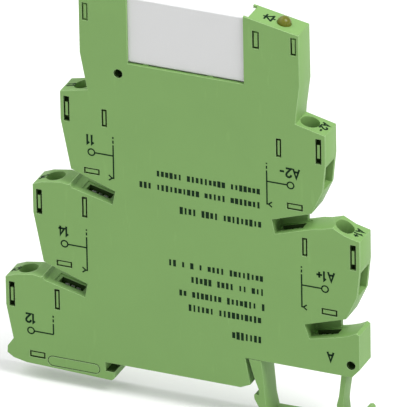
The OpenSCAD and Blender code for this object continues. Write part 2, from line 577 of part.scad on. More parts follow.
module coil_bobbin() color(black) difference() {
  union() {
    rbox(10.2, 10.8, 1.85, coil_z - 3.9, coil_z + 3.9);
    rbox(24.3, 24.9, 1.85, coil_z - 3.9, coil_z + 3.9);
    rbox(10.2, 24.9, 1.3, coil_z - 1.65, coil_z + 1.65);
  }
  rbox(9, 26, 1, coil_z - 1.3, coil_z + 1.3);
}
module coil_winding() color(copper) difference() {
  union() {
    rbox(10.9, 24.2, 1.75, coil_z - 2.2, coil_z + 2.2);
    for (m = [-1, 1]) translate([rl + 10.9, 0, relay_z + coil_z + m * 1.7]) rotate([0, 90, 0])
      cylinder(r = 1.75, h = 13.3);
  }
  rbox(10, 25, 1.32, coil_z - 1.68, coil_z + 1.68);
}

// ---------------------------------------------------------------- drawing
housing_base();
housing_cover();
rail_latch();
eject_lever();
clamp_screw(0);  // clamp_screw_11
clamp_screw(1);  // clamp_screw_14
clamp_screw(2);  // clamp_screw_12
clamp_screw(3);  // clamp_screw_a2
clamp_screw(4);  // clamp_screw_a1
clamp_cage(0);  // clamp_cage_11
clamp_cage(1);  // clamp_cage_14
clamp_cage(2);  // clamp_cage_12
clamp_cage(3);  // clamp_cage_a2
clamp_cage(4);  // clamp_cage_a1
busbar_11();
busbar_14();
busbar_12();
busbar_in(3, 20.6);  // busbar_a2
busbar_in(4, 18);  // busbar_a1
fork(0, lz(1) + bar_z + bar_t + sit, 0);  // bridge_contact_14
fork(1, lz(2) + bar_z + bar_t + sit, 0);  // bridge_contact_12
fork(2, rz(1) + bar_z + bar_t + sit, 0);  // bridge_contact_a1
fork(3, lz(1) - 13, 1);  // bridge_contact_a
socket_contact(0);  // socket_contact_12
socket_contact(1);  // socket_contact_11
socket_contact(2);  // socket_contact_14
socket_contact(3);  // socket_contact_coil_a
socket_contact(4);  // socket_contact_coil_b
circuit_board();
led();
series_resistors();
bridge_rectifier();
freewheel_diode();
smoothing_capacitor();
relay_cover();
relay_base();
coil_bobbin();
coil_winding();
coil_core();
yoke();
armature();
armature_spring();
actuator_card();
moving_contact();
moving_rivet();
contact_com();
contact_nc();
contact_no();
rivet_nc();
rivet_no();
coil_pins();
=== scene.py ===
import json
import math

import bmesh
import bpy
from mathutils import Matrix, Vector
from mathutils.bvhtree import BVHTree


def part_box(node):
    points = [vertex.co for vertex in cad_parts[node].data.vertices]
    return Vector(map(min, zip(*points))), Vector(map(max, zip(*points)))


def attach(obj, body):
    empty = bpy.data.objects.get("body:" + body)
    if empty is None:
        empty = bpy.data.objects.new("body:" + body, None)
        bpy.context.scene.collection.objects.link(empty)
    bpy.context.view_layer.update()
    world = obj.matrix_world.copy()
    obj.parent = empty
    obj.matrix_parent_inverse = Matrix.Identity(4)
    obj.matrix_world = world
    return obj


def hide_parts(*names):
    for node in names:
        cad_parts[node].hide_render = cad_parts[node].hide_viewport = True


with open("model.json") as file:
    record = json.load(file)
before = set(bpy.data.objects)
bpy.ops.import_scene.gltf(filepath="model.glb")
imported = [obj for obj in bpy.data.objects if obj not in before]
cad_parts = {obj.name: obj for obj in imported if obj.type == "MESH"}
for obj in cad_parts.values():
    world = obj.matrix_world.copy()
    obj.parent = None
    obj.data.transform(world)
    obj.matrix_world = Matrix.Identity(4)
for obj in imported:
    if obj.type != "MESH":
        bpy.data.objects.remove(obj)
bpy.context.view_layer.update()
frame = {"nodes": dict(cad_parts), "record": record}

# ---------------------------------------------------------------------------------------------
# Studio: a pale sheet that the module stands on, a large softbox above the input side, a weak
# fill from the printed side, and a long lens that flattens the perspective as in a catalogue.
aim = Vector((0.00412, 0.00062, 0.03978))
turn, tilt, roll = math.radians(23.27), math.radians(27.58), math.radians(-1.05)
towards_lens = Vector((math.sin(turn) * math.cos(tilt), -math.cos(turn) * math.cos(tilt), math.sin(tilt)))
level_right = Vector((0, 0, 1)).cross(towards_lens).normalized()
level_up = towards_lens.cross(level_right)
lens_right = level_right * math.cos(roll) + level_up * math.sin(roll)
lens_up = level_up * math.cos(roll) - level_right * math.sin(roll)
lens_distance = 2.5
view_height = 0.08464
film_width = 36

camera = bpy.data.objects.new("camera", bpy.data.cameras.new("camera"))
camera.data.sensor_width = film_width
camera.data.lens = film_width * lens_distance / view_height
camera.data.clip_start = 0.1
camera.data.clip_end = 20
camera.matrix_world = Matrix.Translation(aim + towards_lens * lens_distance) @ Matrix(
    (lens_right, lens_up, towards_lens)).transposed().to_4x4()
bpy.context.scene.collection.objects.link(camera)
bpy.context.scene.camera = camera


def softbox(name, towards, distance, side, watts):
    """A square lamp that faces the module's middle from a direction and a distance."""
    module_middle = Vector((0, 0, 0.04))
    lamp = bpy.data.lights.new(name, "AREA")
    lamp.shape = "SQUARE"
    lamp.size = side
    lamp.energy = watts
    box = bpy.data.objects.new(name, lamp)
    direction = Vector(towards).normalized()
    box.location = module_middle + direction * distance
    box.rotation_mode = "QUATERNION"
    box.rotation_quaternion = direction.to_track_quat("Z", "Y")
    bpy.context.scene.collection.objects.link(box)


softbox("key_softbox", (0.62, -0.16, 1.0), 1.0, 0.55, 9.8)
softbox("left_softbox", (-0.75, 0.10, 1.0), 1.0, 0.8, 3.6)
softbox("front_fill", (-0.70, -1.0, 0.90), 0.55, 0.4, 0.33)


def feed(tree, node, feeds):
    """Feeds a node's inputs with sockets or plain values."""
    for place, value in feeds.items():
        if isinstance(value, bpy.types.NodeSocket):
            tree.links.new(value, node.inputs[place])
        else:
            node.inputs[place].default_value = value


def fed(tree, kind, feeds, **settings):
    """A new node of a kind, with its settings made and its inputs fed."""
    node = tree.nodes.new(kind)
    for setting, value in settings.items():
        setattr(node, setting, value)
    feed(tree, node, feeds)
    return node


def math_of(tree, operation, *values, clamp=False):
    """The result of a math node fed with sockets or plain numbers."""
    node = fed(tree, "ShaderNodeMath", dict(enumerate(values)), operation=operation, use_clamp=clamp)
    return node.outputs[0]


def looked_along(tree):
    """1 for rays that show a surface, straight, mirrored or through glass; 0 for rays that light one."""
    rays = tree.nodes.new("ShaderNodeLightPath")
    plain = math_of(tree, "MAXIMUM", rays.outputs["Is Camera Ray"], rays.outputs["Is Glossy Ray"])
    return math_of(tree, "MAXIMUM", plain, rays.outputs["Is Transmission Ray"])


def new_material(name):
    """A new material, its node tree and its shader."""
    made = bpy.data.materials.new(name)
    made.use_nodes = True
    return made, made.node_tree, made.node_tree.nodes["Principled BSDF"]


world = bpy.data.worlds.new("studio")
bpy.context.scene.world = world
world.use_nodes = True
sky = world.node_tree
sky.nodes.clear()
backdrop = fed(sky, "ShaderNodeBackground", {"Color": (1, 1, 1, 1), "Strength": 1.0})
daylight = fed(sky, "ShaderNodeBackground", {"Color": (0.97, 0.985, 1, 1), "Strength": 0.42})
sky_mix = fed(sky, "ShaderNodeMixShader", {
    0: looked_along(sky), 1: daylight.outputs[0], 2: backdrop.outputs[0]})
fed(sky, "ShaderNodeOutputWorld", {"Surface": sky_mix.outputs[0]})
bpy.context.scene.view_settings.view_transform = "Standard"

# the sheet glows a little under the module and fully white far away, so that its edge doesn't show
sheet_gap = 0.0002
sheet_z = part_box("rail_latch")[0][2] - sheet_gap
sheet_reach = 3
glow_near, glow_far = 0.20, 1.0
near_reach, far_reach = 0.12, 0.70
sheet_mesh = bpy.data.meshes.new("paper_sheet")
sheet_corners = ((-1, -1), (1, -1), (1, 1), (-1, 1))
sheet_points = [(x * sheet_reach, y * sheet_reach, sheet_z) for x, y in sheet_corners]
sheet_mesh.from_pydata(sheet_points, [], [(0, 1, 2, 3)])
paper_sheet = bpy.data.objects.new("paper_sheet", sheet_mesh)
bpy.context.scene.collection.objects.link(paper_sheet)
paper, paper_tree, paper_shader = new_material("studio_paper")
paper_place = paper_tree.nodes.new("ShaderNodeTexCoord")
paper_distance = fed(paper_tree, "ShaderNodeVectorMath", {0: paper_place.outputs["Object"]},
                     operation="LENGTH")
paper_glow = fed(paper_tree, "ShaderNodeMapRange", {
    "Value": paper_distance.outputs["Value"],
    "From Min": near_reach,
    "From Max": far_reach,
    "To Min": glow_near,
    "To Max": glow_far,
}, interpolation_type="SMOOTHSTEP")
feed(paper_tree, paper_shader, {
    "Base Color": (0.80, 0.80, 0.80, 1),
    "Roughness": 0.95,
    "Specular IOR Level": 0.0,
    "Emission Color": (1, 1, 1, 1),
    "Emission Strength": math_of(paper_tree, "MULTIPLY", looked_along(paper_tree), paper_glow.outputs[0]),
})
sheet_mesh.materials.append(paper)

# ---------------------------------------------------------------------------------------------
# Moulded shells: two half shells of glass-filled green nylon that snap together. The back shell
# holds every pocket, the front plate is thin; both come out of the mould with a fine spark-eroded
# skin, slightly rounded arrises and faint flow clouds. The arrises are painted paler as a highlight,
# and walls that face each other across narrow slots are painted much darker as shade.
shell_arris = 0.00012
slot_width = 0.0026
front_face = -0.0031


def group_with(name, kind, inputs, outputs):
    """A node group with the named sockets, the values given to it and its output node."""
    group = bpy.data.node_groups.new(name, kind)
    for way, sockets in (("INPUT", inputs), ("OUTPUT", outputs)):
        for socket, socket_kind in sockets.items():
            group.interface.new_socket(socket, in_out=way, socket_type="NodeSocket" + socket_kind)
    return group, group.nodes.new("NodeGroupInput").outputs, group.nodes.new("NodeGroupOutput")


def moulded_skin_group():
    """Flow clouds, spark-eroded grain and hairline scuffs over a resin's colour."""
    group, given, result = group_with(
        "moulded_skin", "ShaderNodeTree",
        {"Resin": "Color", "Cloud": "Float", "Grain Scale": "Float", "Gloss Rough": "Float",
         "Scuff": "Float"},
        {"Colour": "Color", "Roughness": "Float", "Height": "Float"})
    place = group.nodes.new("ShaderNodeTexCoord").outputs["Object"]
    cloud = fed(group, "ShaderNodeTexNoise", {"Vector": place, "Scale": 70, "Detail": 3, "Distortion": 0.6})
    cloud_centred = math_of(group, "SUBTRACT", cloud.outputs["Fac"], 0.5)
    cloud_strength = math_of(group, "MULTIPLY", cloud_centred, given["Cloud"])
    grain = fed(group, "ShaderNodeTexNoise", {
        "Vector": place, "Scale": given["Grain Scale"], "Detail": 4, "Roughness": 0.62})
    speck = math_of(group, "MULTIPLY_ADD", grain.outputs["Fac"], 0.16, -0.08)
    stretch = fed(group, "ShaderNodeMapping", {
        "Vector": place, "Scale": (900, 900, 120), "Rotation": (0.2, 0.5, 0)})
    hair = fed(group, "ShaderNodeTexNoise", {"Vector": stretch.outputs[0], "Scale": 1, "Detail": 2})
    hair_line = fed(group, "ShaderNodeMapRange", {
        "Value": hair.outputs["Fac"], "From Min": 0.66, "From Max": 0.74})
    scuff = math_of(group, "MULTIPLY", hair_line.outputs[0], given["Scuff"])
    mottle = math_of(group, "ADD", cloud_strength, speck)
    mottle_scuffed = math_of(group, "ADD", mottle, scuff)
    shade = fed(group, "ShaderNodeHueSaturation", {
        "Color": given["Resin"], "Value": math_of(group, "ADD", mottle_scuffed, 1)})
    rough = math_of(group, "MULTIPLY_ADD", grain.outputs["Fac"], 0.22, given["Gloss Rough"])
    feed(group, result, {
        "Colour": shade.outputs["Color"],
        "Roughness": math_of(group, "SUBTRACT", rough, scuff, clamp=True),
        "Height": grain.outputs["Fac"],
    })
    return group


moulded_skin = moulded_skin_group()


def moulded_plastic(name, resin, rough=0.42, cloud=0.10, grain=5200, scuff=0.05, bump=0.00002,
                    sheen_level=0.4):
    """A moulded resin's material, with its grain as relief."""
    made, tree, shader = new_material(name)
    skin = fed(tree, "ShaderNodeGroup", {}, node_tree=moulded_skin)
    feed(tree, skin, {
        "Resin": (*resin, 1), "Cloud": cloud, "Grain Scale": grain, "Gloss Rough": rough, "Scuff": scuff})
    relief = fed(tree, "ShaderNodeBump", {
        "Height": skin.outputs["Height"], "Strength": 0.6, "Distance": bump})
    feed(tree, shader, {
        "Base Color": skin.outputs["Colour"],
        "Roughness": skin.outputs["Roughness"],
        "Normal": relief.outputs["Normal"],
        "Specular IOR Level": sheen_level,
    })
    return made


def body_of_node(node):
    """The name of the body that a node belongs to."""
    for body, members in frame["record"]["behaviour"]["bodies"].items():
        if node in members:
            return body


def baked(piece):
    """Turns a piece with live modifiers into a plain mesh at the origin."""
    bpy.context.view_layer.update()
    graph = bpy.context.evaluated_depsgraph_get()
    mesh = bpy.data.meshes.new_from_object(piece.evaluated_get(graph), preserve_all_data_layers=True,
                                           depsgraph=graph)
    piece.modifiers.clear()
    piece.data = mesh
    return piece


def narrow_faces(mesh, width):
    """Indexes of the faces behind the front face that look straight at another face closer than a width."""
    clear_of_itself = 1e-5
    form = bmesh.new()
    form.from_mesh(mesh)
    solid = BVHTree.FromBMesh(form)
    found = []
    for f in form.faces:
        centre = f.calc_center_median()
        opposite = solid.ray_cast(centre + f.normal * clear_of_itself, f.normal, width)[0]
        if centre.y > front_face and opposite is not None:
            found.append(f.index)
    form.free()
    return found


def eased_copy(node, arris, materials, steps=2, angle=35):
    """A copy of a CAD solid, merged, with every arris rounded; the rounded strips take the second material,
    a paler copy that paints a highlight along the arrises, and, where there is a third, walls that face
    each other across a narrow slot take that one, a darker copy that paints shade there."""
    weld_distance = 1.5e-6
    flat_within = math.radians(0.6)
    curved_from, curved_to = 0.01, 0.45
    form = bmesh.new()
    form.from_mesh(frame["nodes"][node].data)
    bmesh.ops.remove_doubles(form, verts=form.verts, dist=weld_distance)
    bmesh.ops.dissolve_limit(form, angle_limit=flat_within, verts=form.verts, edges=form.edges)
    for f in form.faces:
        bends = [e.calc_face_angle(0) for e in f.edges if len(e.link_faces) == 2]
        f.smooth = any(curved_from < b < curved_to for b in bends)
        f.material_index = 0
    mesh = bpy.data.meshes.new(node + "_form")
    form.to_mesh(mesh)
    form.free()
    mesh.materials.clear()
    for m in materials:
        mesh.materials.append(m)
    piece = bpy.data.objects.new(node + "_form", mesh)
    bpy.context.scene.collection.objects.link(piece)
    ease = piece.modifiers.new("arris", "BEVEL")
    ease.width = arris
    ease.segments = steps
    ease.limit_method = "ANGLE"
    ease.angle_limit = math.radians(angle)
    ease.material = 1
    baked(piece)
    for polygon in piece.data.polygons:
        if polygon.material_index == 1:
            polygon.use_smooth = True
    # walls that face each other across a narrow slot take the much darker third material: painted shade
    if len(materials) > 2:
        for index in narrow_faces(piece.data, slot_width):
            piece.data.polygons[index].material_index = 2
    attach(piece, body_of_node(node))
    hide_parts(node)
    return piece


shell_green = moulded_plastic("shell_green", (0.200, 0.365, 0.110), sheen_level=0.3)
# a paler copy of the green for the rounded arrises: a painted highlight
shell_green_arris_highlight = moulded_plastic("shell_green_arris_highlight", (0.32, 0.50, 0.22), rough=0.34, scuff=0.12)
# a much darker copy of the green for walls inside narrow slots: painted shade
shell_green_slot_shade = moulded_plastic("shell_green_slot_shade", (0.035, 0.070, 0.018), rough=0.7, sheen_level=0.1)
eased_copy("housing_base", shell_arris, [shell_green, shell_green_arris_highlight, shell_green_slot_shade])
eased_copy("housing_cover", shell_arris, [shell_green, shell_green_arris_highlight, shell_green_slot_shade], steps=3)

# ---------------------------------------------------------------------------------------------
# Rail latch: the foot whose nose snaps under the rail's edge, moulded in the same green nylon; a
# screwdriver in its tab draws it outwards to take the module off.
latch_arris = 0.00022
eased_copy("rail_latch", latch_arris, [shell_green, shell_green_arris_highlight], steps=3)

# ---------------------------------------------------------------------------------------------
# Eject lever: a small green bell crank in the output tower, on a moulded post, whose toe lifts
# the relay out of its contacts.
lever_arris = 0.0001
eased_copy("eject_lever", lever_arris, [shell_green, shell_green_arris_highlight])

# ---------------------------------------------------------------------------------------------
# Terminal and diagram print: pad printed in dark green ink, upside down so that it reads from
# the rail's other side. Each terminal has its number, a ring for the clamp and a lead to the
# contact symbol; plain rows of blocks stand where the rating lines are.
ink_depth = 0.000016
ring_radius = 0.00074
line_width = 0.00032
number_height = 0.00215
number_pen = 0.00046
ledge_number_height = 0.0017
ledge_number_pen = 0.00044
stem_solid = 2.5
short_dash = (2.9, 3.6)
long_dash_from = 4.0
half_line = line_width * 500
fork_stub = 0.35
fork_reach = 0.75
fork_spread = 0.6

ink_print = moulded_plastic("ink_print", (0.004, 0.020, 0.006), rough=0.6, cloud=0.25, grain=2600,
                            scuff=0.03, bump=0.000005, sheen_level=0.12)

# a printing plane: its origin, and the directions of the print's two axes
front_plane = (Vector((0, front_face, 0)), Vector((1, 0, 0)), Vector((0, 0, 1)))


def ink_point(form, plane, point, side):
    """A vertex at a point given in metres on a printing plane, the ink's depth above or below it."""
    origin, right, up = plane
    return form.verts.new(origin + right * point[0] + up * point[1] + right.cross(up) * ink_depth * side)


def ink_line(form, points, pen=line_width, plane=front_plane):
    """A printed line with mitred corners, through points given in millimetres on its plane."""
    sharpest_mitre = 0.45
    path = [Vector(point) * 0.001 for point in points]
    left, right = [], []
    for k, point in enumerate(path):
        before = (point - path[k - 1]).normalized() if k else (path[1] - point).normalized()
        after = (path[k + 1] - point).normalized() if k + 1 < len(path) else before
        mitre = (before + after).normalized()
        across = Vector((-mitre.y, mitre.x))
        reach = pen / 2 / max(sharpest_mitre, across.dot(Vector((-after.y, after.x))))
        left.append(point + across * reach)
        right.append(point - across * reach)
    outline = left + right[::-1]
    front = [ink_point(form, plane, c, 1) for c in outline]
    back = [ink_point(form, plane, c, -1) for c in outline]
    total, steps = len(outline), len(path)
    for k in range(steps - 1):
        quad = (k, k + 1, total - 2 - k, total - 1 - k)
        form.faces.new([front[q] for q in quad])
        form.faces.new([back[q] for q in reversed(quad)])
    for k in range(total):
        n = (k + 1) % total
        form.faces.new((front[k], back[k], back[n], front[n]))


def ink_ring(form, centre, radius=ring_radius, width=line_width, steps=36):
    """A printed ring round a centre given in millimetres on the front plane."""
    middle = Vector(centre) * 0.001
    near, far = radius - width / 2, radius + width / 2
    turns = [2 * math.pi * k / steps for k in range(steps)]
    spokes = [Vector((math.cos(a), math.sin(a))) for a in turns]
    rings = []
    for r, side in ((near, 1), (far, 1), (far, -1), (near, -1)):
        rings.append([ink_point(form, front_plane, middle + spoke * r, side) for spoke in spokes])
    for q in range(4):
        inner, outer = rings[q], rings[(q + 1) % 4]
        for k in range(steps):
            n = (k + 1) % steps
            form.faces.new((inner[k], outer[k], outer[n], inner[n]))


def ink_piece(name, form, body="housing"):
    """Closes a printed form into a piece that rides on the housing."""
    bmesh.ops.recalc_face_normals(form, faces=form.faces)
    mesh = bpy.data.meshes.new(name)
    form.to_mesh(mesh)
    form.free()
    mesh.materials.append(ink_print)
    piece = bpy.data.objects.new(name, mesh)
    bpy.context.scene.collection.objects.link(piece)
    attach(piece, body)
    return piece


# each character's advance, then its pen paths in a box one high
characters = {
    "1": (0.46, [[(0.08, 0.80), (0.27, 1.0), (0.27, 0.0)]]),
    "2": (0.74, [[(0.03, 0.72), (0.09, 0.89), (0.22, 0.99), (0.38, 0.99), (0.52, 0.89), (0.55, 0.72),
                  (0.47, 0.54), (0.06, 0.07), (0.60, 0.07)]]),
    "4": (0.76, [[(0.44, 0.0), (0.44, 0.98), (0.02, 0.27), (0.64, 0.27)]]),
    "A": (0.80, [[(0.0, 0.0), (0.32, 1.0), (0.64, 0.0)], [(0.13, 0.33), (0.51, 0.33)]]),
    "+": (0.72, [[(0.0, 0.46), (0.60, 0.46)], [(0.30, 0.14), (0.30, 0.78)]]),
    "-": (0.60, [[(0.04, 0.46), (0.50, 0.46)]]),
}


def ink_number(name, words, plane, height=number_height, pen=number_pen):
    """A terminal number centred on its plane's origin."""
    form = bmesh.new()
    high = height * 1000
    side_bearing = 0.06
    start = -sum(characters[letter][0] for letter in words) / 2 + side_bearing
    for letter in words:
        for stroke in characters[letter][1]:
            ink_line(form, [((start + x) * high, (z - 0.5) * high) for x, z in stroke], pen, plane)
        start += characters[letter][0]
    return ink_piece(name, form)


def upside_down(x, z):
    """A printing plane on the front, turned over, with its origin at a point in millimetres."""
    return (Vector((x * 0.001, front_face, z * 0.001)), Vector((-1, 0, 0)), Vector((0, 0, -1)))


terminal_marks = [
    # number, its centre, clamp ring, end of the lead, top and foot of the stem, fork side
    ("11", (-19.6, 52.25), (-19.45, 49.24), -14.5, 53.7, 44.0, 1),
    ("14", (-26.2, 29.5), (-26.07, 26.45), -21.0, 30.8, 21.1, 1),
    ("12", (-34.3, 7.3), (-34.26, 4.31), -29.1, 8.8, 4.34, 0),
    ("A2-", (25.2, 52.7), (25.37, 49.79), 20.05, 54.1, 44.5, -1),
    ("A1+", (32.9, 30.0), (32.79, 26.94), 27.55, 31.3, 21.8, -1),
]
for words, centre, ring, lead_end, stem_top, stem_foot, fork in terminal_marks:
    mark = words.rstrip("+-").lower()
    ink_number("print_number_" + mark, words, upside_down(*centre))
    diagram = bmesh.new()
    side = 1 if lead_end > ring[0] else -1
    ink_ring(diagram, ring)
    ink_line(diagram, [(ring[0] + side * ring_radius * 1000, ring[1]), (lead_end, ring[1])])
    for low, high in (short_dash, (long_dash_from, stem_top - ring[1])):
        ink_line(diagram, [(lead_end, ring[1] + low), (lead_end, ring[1] + high)])
    ink_line(diagram, [(lead_end, ring[1] + stem_solid), (lead_end, stem_foot)])
    if fork:
        crotch = lead_end - fork * fork_stub
        ink_line(diagram, [(lead_end + fork * half_line, stem_foot), (crotch, stem_foot)])
        ink_line(diagram, [(crotch - fork * fork_reach, stem_foot + fork_spread), (crotch, stem_foot),
                           (crotch - fork * fork_reach, stem_foot - fork_spread)])
    ink_piece("print_diagram_" + mark, diagram)
ink_number("print_number_a", "A", upside_down(33.8, 11.2))

# the same numbers, smaller, on the sloping ledges at the outer side of each bore
ledge_marks = [
    # number, X and Z of the ledge's outer corner, its slope, distance of the number from the corner
    ("11", (-26.3, 62.3), 0.216, 1.2),
    ("14", (-33.07, 39.2), 0.409, 1.2),
    ("12", (-39.84, 16.1), 0.409, 1.2),
    ("A2-", (33.18, 62.6), -0.242, -1.5),
    ("A1+", (40.63, 39.3), -0.250, -1.5),
]
for words, corner, slope, inward in ledge_marks:
    along = Vector((1, 0, slope)).normalized()
    spot = Vector((corner[0] + inward, 0, corner[1] + slope * inward)) * 0.001
    ink_number("print_ledge_" + words.rstrip("+-").lower(), words, (spot, Vector((0, -1, 0)), along),
               ledge_number_height, ledge_number_pen)

# a diode symbol beside the indicator, on the input tower's sloping top
lamp_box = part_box("led")
tower_corner_x = 0.01525
tower_rise = 0.00046
tower_corner_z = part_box("relay_cover")[1][2] + tower_rise
tower_slope = -0.192
lamp_mark_in = 0.0033
lamp_mark_x = (lamp_box[0][0] + lamp_box[1][0]) / 2 - lamp_mark_in
lamp_mark_z = tower_corner_z + tower_slope * (lamp_mark_x - tower_corner_x)
lamp_plane = (Vector((lamp_mark_x, 0, lamp_mark_z)), Vector((0, -1, 0)),
              Vector((1, 0, tower_slope)).normalized())
lamp_strokes = [
    [(-1.1, 0.7), (0, -0.7), (1.1, 0.7)],
    [(-1.3, 0.7), (1.3, 0.7)],
    [(-1.1, -0.8), (1.1, -0.8)],
    [(0, 0.7), (0, 1.4)],
    [(0, -0.8), (0, -1.4)],
]
lamp_mark = bmesh.new()
for stroke in lamp_strokes:
    ink_line(lamp_mark, stroke, ledge_number_pen, lamp_plane)
ink_piece("print_lamp_mark", lamp_mark)


def random_between(tree, low, high, seed):
    """A random number for each point, between two limits."""
    draw = fed(tree, "FunctionNodeRandomValue", {"Seed": seed}, data_type="FLOAT")
    limits = [s for s in draw.inputs if s.type == "VALUE"]
    limits[0].default_value = low
    limits[1].default_value = high
    return [s for s in draw.outputs if s.type == "VALUE"][0]


def end_tree(tree, instances, material, result):
    """Ends a geometry nodes tree: instances made real and given their material."""
    real = fed(tree, "GeometryNodeRealizeInstances", {"Geometry": instances})
    coated = fed(tree, "GeometryNodeSetMaterial", {
        "Geometry": real.outputs["Geometry"], "Material": material})
    feed(tree, result, {"Geometry": coated.outputs["Geometry"]})


def block_row_tree():
    """Geometry nodes for one row of printed blocks, broken into groups of uneven length."""
    tree, given, result = group_with(
        "printed_block_row", "GeometryNodeTree",
        {"Geometry": "Geometry", "Row Start": "Vector", "Row Length": "Float", "Block Pitch": "Float",
         "Block Height": "Float", "Seed": "Int", "Ink": "Material"},
        {"Geometry": "Geometry"})
    gap_share = 0.15
    other_seed = 31
    step = fed(tree, "ShaderNodeCombineXYZ", {"X": math_of(tree, "MULTIPLY", given["Block Pitch"], -1)})
    row = fed(tree, "GeometryNodeMeshLine", {
        "Count": math_of(tree, "DIVIDE", given["Row Length"], given["Block Pitch"]),
        "Start Location": given["Row Start"],
        "Offset": step.outputs[0],
    }, mode="OFFSET")
    gap = fed(tree, "FunctionNodeRandomValue", {"Probability": gap_share, "Seed": given["Seed"]},
              data_type="BOOLEAN")
    drop = fed(tree, "GeometryNodeDeleteGeometry", {
        "Geometry": row.outputs["Mesh"],
        "Selection": [s for s in gap.outputs if s.type == "BOOLEAN"][0],
    }, domain="POINT")
    block = fed(tree, "GeometryNodeMeshCube", {"Size": (1, 1, 1)})
    wide = random_between(tree, 0.38, 0.80, given["Seed"])
    tall = random_between(tree, 0.72, 1.0, math_of(tree, "ADD", given["Seed"], other_seed))
    size = fed(tree, "ShaderNodeCombineXYZ", {
        "X": math_of(tree, "MULTIPLY", wide, given["Block Pitch"]),
        "Y": 2 * ink_depth,
        "Z": math_of(tree, "MULTIPLY", tall, given["Block Height"]),
    })
    put = fed(tree, "GeometryNodeInstanceOnPoints", {
        "Points": drop.outputs["Geometry"],
        "Instance": block.outputs["Mesh"],
        "Scale": size.outputs[0],
    })
    end_tree(tree, put.outputs["Instances"], given["Ink"], result)
    return tree


def grown(name, tree, values):
    """A plain mesh grown by a geometry nodes tree from named input values."""
    piece = bpy.data.objects.new(name, bpy.data.meshes.new(name))
    bpy.context.scene.collection.objects.link(piece)
    grow = piece.modifiers.new(name, "NODES")
    grow.node_group = tree
    for socket in tree.interface.items_tree:
        if socket.item_type == "SOCKET" and socket.in_out == "INPUT" and socket.name in values:
            grow[socket.identifier] = values[socket.name]
    return baked(piece)


block_rows = block_row_tree()
row_inset = 0.0004
block_pitch = 0.00098
rating_rows = [
    # name, right end X, left end X, Z, block height, seed
    ("options_a", 18.5, -5.4, 47.0, 1.5, 3),
    ("options_b", 18.5, -9.9, 43.8, 1.5, 8),
    ("options_head", 18.7, 0.0, 39.3, 1.7, 12),
    ("rating_a", 18.9, -2.8, 26.6, 1.6, 21),
    ("rating_b", 19.0, 0.1, 23.4, 1.6, 27),
    ("rating_c", 19.2, -1.3, 19.9, 1.6, 34),
    ("rating_d", 19.3, 0.8, 16.7, 1.6, 45),
    ("rating_head", 19.3, 10.9, 12.1, 1.8, 51),
]
for row, right, left, height, tall, seed in rating_rows:
    printed = grown("print_row_" + row, block_rows, {
        "Row Start": (right * 0.001 - row_inset, front_face, height * 0.001),
        "Row Length": (right - left) * 0.001,
        "Block Pitch": block_pitch,
        "Block Height": tall * 0.001,
        "Seed": seed,
        "Ink": ink_print,
    })
    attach(printed, "housing")

# ---------------------------------------------------------------------------------------------
# Clamps: zinc-plated steel cages and slotted screws. Each screw hangs in the mouth of its cage
# and draws it up against the busbar's tongue; the plating is finely brushed and dulls in random
# blooms.
screw_arris = 0.00012
cage_arris = 0.00015


def plated_finish_group():
    """Brushed plating that dulls in blooms."""
    group, given, result = group_with(
        "plated_finish", "ShaderNodeTree",
        {"Metal": "Color", "Tarnish": "Float", "Brush Scale": "Float", "Polish Rough": "Float"},
        {"Colour": "Color", "Roughness": "Float", "Height": "Float"})
    place = group.nodes.new("ShaderNodeTexCoord").outputs["Object"]
    lay = fed(group, "ShaderNodeMapping", {"Vector": place, "Scale": (1, 1, 14), "Rotation": (0.3, 0.1, 0)})
    brush = fed(group, "ShaderNodeTexNoise", {
        "Vector": lay.outputs[0], "Scale": given["Brush Scale"], "Detail": 5})
    bloom = fed(group, "ShaderNodeTexNoise", {"Vector": place, "Scale": 260, "Detail": 4})
    stain = math_of(group, "MULTIPLY", bloom.outputs["Fac"], given["Tarnish"])
    shade = fed(group, "ShaderNodeHueSaturation", {
        "Color": given["Metal"], "Value": math_of(group, "SUBTRACT", 1, stain)})
    feed(group, result, {
        "Colour": shade.outputs["Color"],
        "Roughness": math_of(group, "MULTIPLY_ADD", brush.outputs["Fac"], 0.2, given["Polish Rough"]),
        "Height": brush.outputs["Fac"],
    })
    return group


plated_finish = plated_finish_group()


def bare_metal(name, metal, rough=0.25, tarnish=0.25, brush=900, bump=0.000006):
    """A plated or bare metal's material, with its brush marks as relief."""
    made, tree, shader = new_material(name)
    finish = fed(tree, "ShaderNodeGroup", {}, node_tree=plated_finish)
    feed(tree, finish, {
        "Metal": (*metal, 1), "Tarnish": tarnish, "Brush Scale": brush, "Polish Rough": rough})
    relief = fed(tree, "ShaderNodeBump", {
        "Height": finish.outputs["Height"], "Strength": 0.5, "Distance": bump})
    feed(tree, shader, {
        "Metallic": 1,
        "Base Color": finish.outputs["Colour"],
        "Roughness": finish.outputs["Roughness"],
        "Normal": relief.outputs["Normal"],
    })
    return made


zinc_plate = bare_metal("zinc_plate", (0.66, 0.67, 0.69))
# a paler copy of the zinc for the rounded arrises: a painted highlight
zinc_edge_highlight = bare_metal("zinc_edge_highlight", (0.80, 0.81, 0.82), rough=0.15, tarnish=0.1)
for terminal in ("11", "14", "12", "a2", "a1"):
    eased_copy("clamp_screw_" + terminal, screw_arris, [zinc_plate, zinc_edge_highlight])
    eased_copy("clamp_cage_" + terminal, cage_arris, [zinc_plate, zinc_edge_highlight])

# ---------------------------------------------------------------------------------------------
# Busbars and contacts: stamped strip. The busbars are plain copper; the bridge forks are tinned
# bronze and the relay's socket forks bare spring bronze. Each has a paler copy of its metal painted
# on the rounded arrises as a highlight.
strip_arris = 0.00006
busbar_copper = bare_metal("busbar_copper", (0.72, 0.44, 0.29), rough=0.3)
# a paler copy of the copper for the rounded arrises: a painted highlight
busbar_edge_highlight = bare_metal("busbar_edge_highlight", (0.85, 0.56, 0.40), rough=0.2, tarnish=0.1)
spring_bronze = bare_metal("spring_bronze", (0.76, 0.66, 0.42), rough=0.24)
